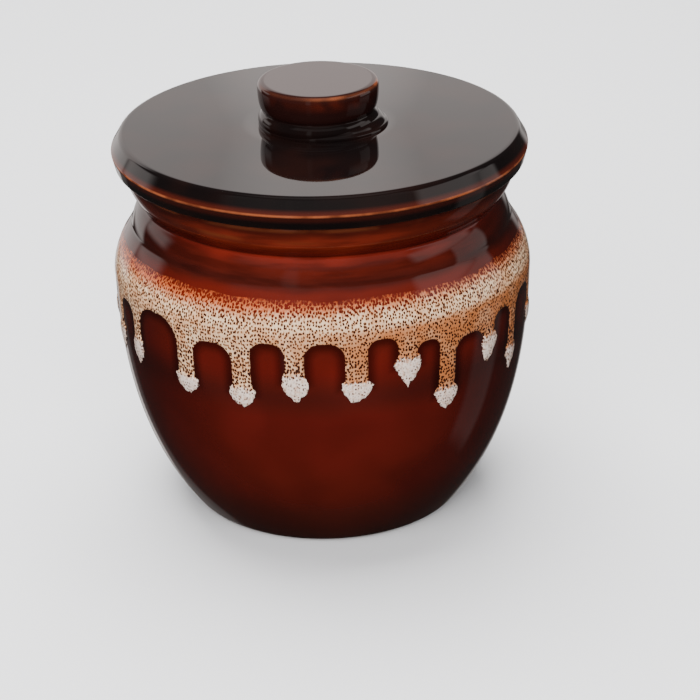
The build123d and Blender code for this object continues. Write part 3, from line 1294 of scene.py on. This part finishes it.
@dataclass
class GlazeDrops(Piece):
    """The drops at the ends of the runs."""

    role: ClassVar[Role] = Role(
        "glaze_drops", Body.POT, "bead_glaze", "glaze_beads", "gathered_ash_glaze", 0.01
    )

    pour: Pour
    iron: IronGlaze
    stem: PouredGlaze
    glaze: DropGlaze
    proud: float = 0.55
    embedded: float = 0.35
    segments: int = 64
    rings: int = 26
    seed: int = 11

    # How the drops differ: how square their tops and how pointed their ends are, their lean, their jags
    top_power: Point = (1.6, 2.4)
    end_power: Point = (1.5, 2.1)
    lean: float = 0.14
    jags: tuple[tuple[int, float], ...] = ((3, 0.05), (5, 0.04), (8, 0.03), (13, 0.022), (19, 0.014))
    least_reach: float = 0.05
    widest_end: float = 1.2
    widest_top: float = 1.3
    end_thickness: float = 0.55

    # The ragged edge, and the root where the stem's glaze runs into the drop
    ragged: Grain = Grain(0.5, 2.5, 0.8, 0.6)
    ragged_depth: float = 0.34
    edge_fade: Span = Span(-0.17, -0.07)
    root_depth: float = 1.5
    root_fade: Span = Span(1.05, 1.4)

    def mesh(self) -> Solid:
        """Makes a drop once, and wraps a copy of it on the wall under each stem.

        Returns:
            All the drops as one piece.
        """
        select_none()
        bpy.ops.mesh.primitive_uv_sphere_add(segments=self.segments, ring_count=self.rings, radius=1)
        pattern = bpy.context.object
        unit = vertex_places(pattern) * MM
        source = random.Random(self.seed)
        drops = []
        for number, run in enumerate(RUNS):
            make_active(pattern)
            bpy.ops.object.duplicate()
            drop = bpy.context.object
            drop.name = f"drop_{number}"
            self.shape(drop, unit, run, source)
            drops.append(drop)
        bpy.data.objects.remove(pattern)
        make_active(drops[0])
        for drop in drops:
            drop.select_set(True)
        bpy.ops.object.join()
        piece = bpy.context.object
        piece.name = self.role.name
        bpy.ops.object.shade_smooth()
        return piece

    def shape(self, drop: Solid, unit: np.ndarray, run: Run, source: random.Random) -> None:
        """Gives one drop its outline and lays it on the wall.

        Args:
            drop: A copy of the unit sphere.
            unit: The sphere's vertex places.
            run: The run that it ends.
            source: Where its small differences come from.
        """
        x, y, z = unit.T
        half_width = self.pour.run_width * run.width_share / 2
        rise, fall = self.pour.bead_reach(run)
        top_power = source.uniform(*self.top_power)
        narrow = np.clip(1 - np.clip(-y, 0, 1) ** source.uniform(*self.end_power), 0, 1)
        reach = np.maximum(np.sqrt(np.clip(1 - y**2, 0, 1)), self.least_reach)
        lower_share = np.where(y < 0, narrow / reach, 1.0)
        upper_share = np.where(y > 0, np.sqrt(np.clip(1 - np.abs(y) ** top_power, 0, 1)) / reach, 1.0)
        lean = source.uniform(-self.lean, self.lean)
        around = np.arctan2(y, x)
        jag = 1 + sum(size * np.sin(k * around + source.uniform(0, math.tau)) for k, size in self.jags)
        wide = np.clip(lower_share, 0, self.widest_end) * np.clip(upper_share, 1, self.widest_top)
        across = half_width * (x * wide + lean * y) * jag
        along = np.where(y > 0, rise, fall) * y * jag
        thin = np.clip(self.end_thickness + (1 - self.end_thickness) * lower_share, 0, 1)
        lean_wall = self.pour.pot.lean_at(self.pour.bead_height(run) + along)
        height = self.pour.bead_height(run) + along / np.sqrt(1 + lean_wall**2)
        turn = math.radians(run.turn) + across / self.pour.pot.radius_at(height)
        proud = np.where(z > 0, self.proud, self.embedded) * z * thin
        self.pour.pot.lay(drop, turn, height, lean_wall, proud)
        write_attribute(drop, "drop_inside", 1 - np.sqrt(np.clip(x**2 + y**2, 0, 1)))
        write_attribute(drop, "drop_up", y)

    def dress(self, bench: Bench) -> Look:
        """Dresses them in creamy glaze that is mottled into the stems and into the iron glaze.

        Args:
            bench: The material's bench.

        Returns:
            The drops' look.
        """
        ragged = bench.noise(self.ragged)
        inner = bench.stored("drop_inside") - ragged * self.ragged_depth
        gathered = self.glaze.colour(bench, self.stem.cell_share(bench))
        white = inner.ramp(self.edge_fade).mix(self.iron.colour(bench), gathered)
        root = bench.stored("drop_up") + ragged * self.root_depth
        colour = root.ramp(self.root_fade).mix(white, self.stem.colour(bench))
        return Look(colour, self.glaze.roughness, self.stem.ior)


# The lid and its knob


@dataclass
class Lid(Piece):
    """The lid, with the ring under it that drops into the mouth."""

    role: ClassVar[Role] = Role("jar_lid", Body.LID, "lid_glaze", "lid", "dark_iron_glaze_lid", 0.004)

    pot: Pot
    glaze: DarkGlaze
    radius: float = 50.0
    arris_height: float = 3.5
    underside_radius: float = 49.1
    corner_radius: float = 47.7
    edge_thickness: float = 7.4
    crown: float = 0.8
    ceiling: float = 5.0
    clearance: float = 0.8
    ring_thickness: float = 3.8
    ring_depth: float = 6.5
    flat_radius: float = 17.7
    ceiling_round: float = 2.0
    ring_round: float = 1.1
    seat_round: float = 0.1
    underside_round: float = 0.5
    arris_round: float = 0.35
    corner_round: float = 0.9
    flat_round: float = 1.0
    round_steps: int = 8
    steps: int = 240

    # Red above and below the arris, and the broken line along it
    above: Ring = Ring(0.0, 0.6, 1.4, 0.8)
    below: Ring = Ring(0.2, -0.7, 1.4, 0.4)
    line: Ring = Ring(0.0, 0.05, 0.48)
    line_grain: Grain = Grain(5.0)
    line_share: Span = Span(0.34, 0.62, 0.25, 0.8)

    @property
    def corner_height(self) -> float:
        """Height of the lid's upper corner."""
        return self.pot.rim[1] + self.edge_thickness

    @property
    def level(self) -> float:
        """Height of the flat middle, where the knob stands."""
        return self.corner_height + self.crown

    def outline(self) -> Chain:
        """Draws the outline from the middle of the ceiling round to the middle of the top.

        Returns:
            The outline.
        """
        base = self.pot.rim[1]
        ring = self.pot.mouth_radius - self.clearance
        bore = ring - self.ring_thickness
        ceiling = self.corner_height - self.ceiling
        corners = spans(
            (0, ceiling, 0),
            (bore / 2, ceiling, 0),
            (bore, ceiling, self.ceiling_round),
            (bore, base - self.ring_depth, self.ring_round),
            (ring, base - self.ring_depth, self.ring_round),
            (ring, base, self.seat_round),
            (self.underside_radius, base, self.underside_round),
            (self.radius, base + self.arris_height, self.arris_round),
            (self.corner_radius, self.corner_height, self.corner_round),
            (self.flat_radius, self.level, self.flat_round),
            (0, self.level, 0),
        )
        return joined(*corners, steps=self.round_steps)

    def mesh(self) -> Solid:
        """Turns the lid."""
        return turned(self.role.name, supported(self.outline()), self.steps)

    def dress(self, bench: Bench) -> Look:
        """Dresses it in nearly black glaze, redder at the arris and breaking orange along it.

        Args:
            bench: The material's bench.

        Returns:
            The lid's look.
        """
        arris = (self.radius, self.pot.rim[1] + self.arris_height)
        red = bench.near(arris, self.above).apply("MAXIMUM", bench.near(arris, self.below))
        base = red.mix(self.glaze.colour(bench), self.glaze.red)
        line = bench.near(arris, self.line) * bench.noise(self.line_grain).ramp(self.line_share)
        return Look(line.mix(base, self.glaze.breaking), self.glaze.roughness, self.glaze.ior)


@dataclass
class Knob(Piece):
    """The knob that was luted to the middle of the lid."""

    role: ClassVar[Role] = Role(
        "lid_knob_turned", Body.LID, "lid_glaze", "lid_knob", "dark_iron_glaze_knob", 0.006
    )

    lid: Lid
    glaze: DarkGlaze
    foot_radius: float = 14.1
    bulge: Point = (14.5, 1.5)
    waist: Point = (13.3, 3.6)
    waist_round: float = 0.5
    waist_rise: float = 0.9
    head_radius: float = 14.5
    edge_round: float = 1.6
    height: float = 10.8
    steps: int = 160

    # The brown side, the warm band under the head's edge and the broken line on it, stronger on the right
    side_from: Span = Span(3.2, 4.4)
    drift: Grain = Grain(6.0, 1.5)
    right: Span = Span(-7.0, 5.0)
    warm: Ring = Ring(0.0, -2.0, 2.4)
    warm_share: Span = Span(0.4, 0.62, 0.15, 0.9)
    warm_right: Span = Span(0.0, 1.0, 0.3, 1.0)
    line: Ring = Ring(0.5, -0.6, 0.7)
    line_share: Span = Span(0.36, 0.62, 0.15, 0.55)
    line_right: Span = Span(0.0, 1.0, 0.12, 1.0)

    def outline(self) -> Chain:
        """Draws the outline from the middle of its foot round to the middle of its head.

        Returns:
            The outline.
        """
        base, head = self.lid.level, self.head_radius
        top = base + self.height
        foot, bulge = (self.foot_radius, base), (self.bulge[0], base + self.bulge[1])
        waist = (self.waist[0], base + self.waist[1])
        side, flat = (head, top - self.edge_round), (head - self.edge_round, top)
        return joined(
            *spans((0, base, 0), (*foot, 0)),
            (arc(foot, bulge, waist), self.waist_round),
            (bezier(waist, (head, waist[1] + self.waist_rise), side, steps=10), 0),
            (bezier(side, (head, top), flat, steps=8), 0),
            *spans((*flat, 0), (0, top, 0)),
        )

    def mesh(self) -> Solid:
        """Turns the knob."""
        return turned(self.role.name, supported(self.outline()), self.steps)

    def dress(self, bench: Bench) -> Look:
        """Dresses it in nearly black glaze that breaks orange-brown below the edge of the head.

        Args:
            bench: The material's bench.

        Returns:
            The knob's look.
        """
        edge = (self.head_radius, self.lid.level + self.height)
        drift = bench.noise(self.drift)
        right = bench.along("X").ramp(self.right)
        side = (bench.height() - self.lid.level).ramp(self.side_from)
        colour = side.mix(self.glaze.colour(bench), self.glaze.side)
        for ring, share, to_right, tint in (
            (self.warm, self.warm_share, self.warm_right, self.glaze.red),
            (self.line, self.line_share, self.line_right, self.glaze.breaking),
        ):
            colour = (bench.near(edge, ring) * drift.ramp(share) * right.ramp(to_right)).mix(colour, tint)
        return Look(colour, self.glaze.roughness, self.glaze.ior)


@dataclass
class GlazePool(Piece):
    """Glaze that gathered on the lid round the knob's foot, more on one side."""

    role: ClassVar[Role] = Role(
        "glaze_pool", Body.LID, "lid_glaze", "knob_glaze_pool", "dark_iron_glaze_pool"
    )

    knob: Knob
    glaze: DarkGlaze
    under_knob: float = 0.6
    least_spread: float = 0.9
    most_spread: float = 3.2
    lobe_turn: float = 78.0
    lobe_power: int = 4
    ripple: float = 0.1
    ripple_orders: tuple[int, ...] = (3, 5, 8)
    ripple_phase: float = 1.7
    thickness: float = 2.3
    lip: float = 0.7
    sink: float = 0.1
    steps: int = 240

    # Points of the rounded edge and the bank behind it: shares of the spread, and of the lip's height
    bulge: Point = (1.02, 0.7)
    brow: Point = (0.92, 1.0)
    shoulder: Point = (0.8, 1.2)
    bank: Point = (0.64, 1.6)
    crest_share: float = 0.5

    def outline(self) -> Chain:
        """Draws the pool's outline, with its spread as 1, from its underside round to its top.

        Returns:
            Points, each a share of the spread from the knob's foot outwards, and a height above the lid.
        """
        foot = self.knob.foot_radius - self.under_knob
        points = (self.bulge, self.brow, self.shoulder, self.bank)
        bulge, brow, shoulder, bank = ((share, self.lip * rise) for share, rise in points)
        edge = bezier((1, -self.sink), bulge, brow, shoulder, steps=10)
        climb = bezier(shoulder, bank, (self.crest_share, self.thickness), (0, self.thickness), steps=12)
        return [(-foot, -self.sink), (0, -self.sink), *edge, *climb[1:], (-foot, self.thickness)]

    def mesh(self) -> Solid:
        """Turns the pool as a flat dome and lets it spread unevenly.

        Returns:
            The pool.
        """
        level, foot = self.knob.lid.level, self.knob.foot_radius - self.under_knob
        chain = [(foot + share, level + height) for share, height in self.outline()]
        piece = turned(self.role.name, chain, self.steps)
        places = vertex_places(piece)
        reach = np.hypot(places[:, 0], places[:, 1])
        turn = np.radians(turns_of(places))
        lobe = ((1 + np.cos(turn - math.radians(self.lobe_turn))) / 2) ** self.lobe_power
        waves = sum(np.sin((turn + self.ripple_phase) * k) / k for k in self.ripple_orders) * self.ripple
        spread = self.least_spread + (self.most_spread - self.least_spread) * lobe + waves
        stretched = (foot + (reach - foot) * spread) / np.maximum(reach, foot)
        places[:, :2] *= np.where(reach > foot, stretched, 1.0)[:, None]
        set_vertex_places(piece, places)
        return piece

    def dress(self, bench: Bench) -> Look:
        """Dresses it in the lid's own glaze."""
        return Look(self.glaze.colour(bench), self.glaze.roughness, self.glaze.ior)


# The studio


class Patch(NamedTuple):
    """A pale part of the room, as the glaze mirrors it: angles in degrees, azimuth as a run's turn."""

    azimuth: float
    elevation: float
    half_width: float
    half_height: float
    blur: float
    strength: float


class Lamp(NamedTuple):
    """A soft square lamp: its name, its place and side in metres, and its power in watts."""

    name: str
    place: tuple[float, float, float]
    side: float
    power: float


@dataclass
class Studio:
    """Floor, backdrop, lamps and the camera at the photograph's viewing angle."""

    target_height: float = 52.25
    distance: float = 612.65
    elevation: float = 23.5
    roll: float = 1.44
    lens: float = 128.06
    sensor: float = 36.0
    shift: tuple[float, float] = (0.0385, -0.0892)
    floor_side: float = 6.0
    paper: str = "#eeeef0"
    bounce: str = "#6e6e70"
    wall: str = "#f0e8e5"
    ambient: float = 0.22
    gloom: float = 0.05
    aim: tuple[float, float, float] = (0.0, 0.0, 0.05)
    lamps: tuple[Lamp, ...] = (
        Lamp("key", (-0.14, -0.99, 0.75), 1.2, 28.0),
        Lamp("top", (-0.1, 0.3, 1.1), 1.0, 33.0),
    )
    patches: tuple[Patch, ...] = (
        Patch(190.0, 12.5, 32.0, 18.0, 10.0, 1.15),
        Patch(-150.0, 10.0, 16.0, 20.0, 6.0, 1.3),
        Patch(-119.0, 11.0, 8.0, 3.0, 10.0, 1.1),
        Patch(-162.0, -22.0, 3.0, 10.0, 4.0, 1.1),
        Patch(180.0, 18.0, 1.0, 18.0, 7.0, 1.55),
        Patch(-160.0, -38.0, 9.0, 10.0, 6.0, 0.15),
        Patch(176.0, -22.0, 12.0, 12.0, 4.0, 0.35),
        Patch(0.0, 90.0, 180.0, 14.0, 16.0, 0.3),
        Patch(0.0, 44.0, 55.0, 6.0, 12.0, 0.2),
        Patch(82.0, 28.0, 20.0, 5.0, 8.0, 0.9),
        Patch(98.0, 6.0, 12.0, 12.0, 4.0, 0.75),
        Patch(105.0, -32.0, 8.0, 10.0, 6.0, 0.16),
        Patch(-19.0, 8.0, 2.0, 38.0, 5.0, 0.22),
    )

    def camera(self) -> None:
        """Places the camera that the outline of the jar was fitted with."""
        rise = math.radians(self.elevation)
        back = Vector((0, -math.cos(rise), math.sin(rise)))
        data = bpy.data.cameras.new("camera")
        data.sensor_width = self.sensor
        data.lens = self.lens
        data.shift_x, data.shift_y = self.shift
        camera = bpy.data.objects.new("camera", data)
        bpy.context.scene.collection.objects.link(camera)
        place = Vector((0, 0, self.target_height * MM)) + back * self.distance * MM
        turn = (-back).to_track_quat("-Z", "Y").to_matrix().to_4x4()
        roll = Matrix.Rotation(math.radians(-self.roll), 4, "Z")
        camera.matrix_world = Matrix.Translation(place) @ turn @ roll
        bpy.context.scene.camera = camera

    def paper_material(self) -> bpy.types.Material:
        """Makes pale paper that takes the jar's shadow, and throws little light back at the jar.

        Returns:
            The material.
        """
        made = bpy.data.materials.new("studio_paper")
        tree = new_tree(made)
        path = add_node(tree, "LightPath").outputs
        seen = Number(path["Is Camera Ray"]).apply("MAXIMUM", path["Is Glossy Ray"])
        colour = seen.apply("MAXIMUM", path["Is Transmission Ray"]).mix(self.bounce, self.paper)
        paper = add_node(tree, "BsdfDiffuse", inputs={"Color": colour})
        add_node(tree, "OutputMaterial", inputs={"Surface": paper.outputs[0]})
        return made

    def patch_glow(self, azimuth: Number, elevation: Number, patch: Patch) -> Number:
        """Works out the brightness of one pale patch of the room.

        Args:
            azimuth: The direction looked in, in degrees from the front towards +X.
            elevation: The same, in degrees above level.
            patch: The patch.

        Returns:
            Its brightness in that direction.
        """
        across = (azimuth - patch.azimuth).apply("PINGPONG", 180.0)
        up = (elevation - patch.elevation).apply("ABSOLUTE")
        wide = across.ramp(Span(patch.half_width + patch.blur, patch.half_width))
        tall = up.ramp(Span(patch.half_height + patch.blur, patch.half_height))
        return wide * tall * patch.strength

    def air(self) -> None:
        """Makes the world: a pale wall behind the jar for its glaze to mirror, in a room dark in front."""
        world = bpy.data.worlds.new("studio_air")
        bpy.context.scene.world = world
        tree = new_tree(world)
        direction = add_node(tree, "TexCoord").outputs["Generated"]
        split = add_node(tree, "SeparateXYZ", inputs={0: direction})
        right, away, up = (Number(socket) for socket in split.outputs)
        azimuth = right.apply("ARCTAN2", away * -1.0).apply("DEGREES")
        elevation = up.apply("ARCSINE").apply("DEGREES")
        glow, *others = (self.patch_glow(azimuth, elevation, patch) for patch in self.patches)
        for other in others:
            glow = glow.apply("MAXIMUM", other)
        path = add_node(tree, "LightPath").outputs
        mirrored = Number(path["Is Glossy Ray"]).apply("MAXIMUM", path["Is Transmission Ray"])
        lights = (("#ffffff", self.ambient), (self.wall, glow + self.gloom), (self.paper, 1.0))
        soft, shine, seen = (
            add_node(tree, "Background", inputs={"Color": colour, "Strength": strength}).outputs[0]
            for colour, strength in lights
        )
        lit = add_node(tree, "MixShader", inputs={0: mirrored, 1: soft, 2: shine}).outputs[0]
        both = add_node(tree, "MixShader", inputs={0: path["Is Camera Ray"], 1: lit, 2: seen})
        add_node(tree, "OutputWorld", inputs={"Surface": both.outputs[0]})

    def hang(self, lamp: Lamp) -> None:
        """Hangs a lamp that looks at the jar; the air alone gives the glaze its reflections.

        Args:
            lamp: The lamp.
        """
        data = bpy.data.lights.new(lamp.name, "AREA")
        data.size = lamp.side
        data.energy = lamp.power
        hung = bpy.data.objects.new(lamp.name, data)
        bpy.context.scene.collection.objects.link(hung)
        hung.location = lamp.place
        hung.rotation_euler = (Vector(self.aim) - Vector(lamp.place)).to_track_quat("-Z", "Y").to_euler()
        hung.visible_glossy = False

    def set_up(self) -> None:
        """Lays the floor, makes the air and hangs the lamps."""
        select_none()
        bpy.ops.mesh.primitive_plane_add(size=self.floor_side, location=(0, 0, 0))
        floor = bpy.context.object
        floor.name = "studio_floor"
        floor.data.materials.append(self.paper_material())
        floor.visible_glossy = False
        self.air()
        for lamp in self.lamps:
            self.hang(lamp)


def main() -> None:
    """Builds the jar and the studio, piece by piece."""
    logging.basicConfig(level=logging.INFO, format="%(relativeCreated)6.0f ms %(name)s: %(message)s")
    studio = Studio()
    studio.camera()
    iron, poured, dark = IronGlaze(), PouredGlaze(), DarkGlaze()
    pot = Pot(iron, BareClay())
    pour = Pour(pot)
    skin = PouredSkin(pour, iron, poured)
    drops = GlazeDrops(pour, iron, poured, DropGlaze())
    lid = Lid(pot, dark)
    knob = Knob(lid, dark)
    for piece in (pot, skin, drops, lid, knob, GlazePool(knob, dark)):
        piece.build()
    studio.set_up()


if __name__ == "__main__":
    main()
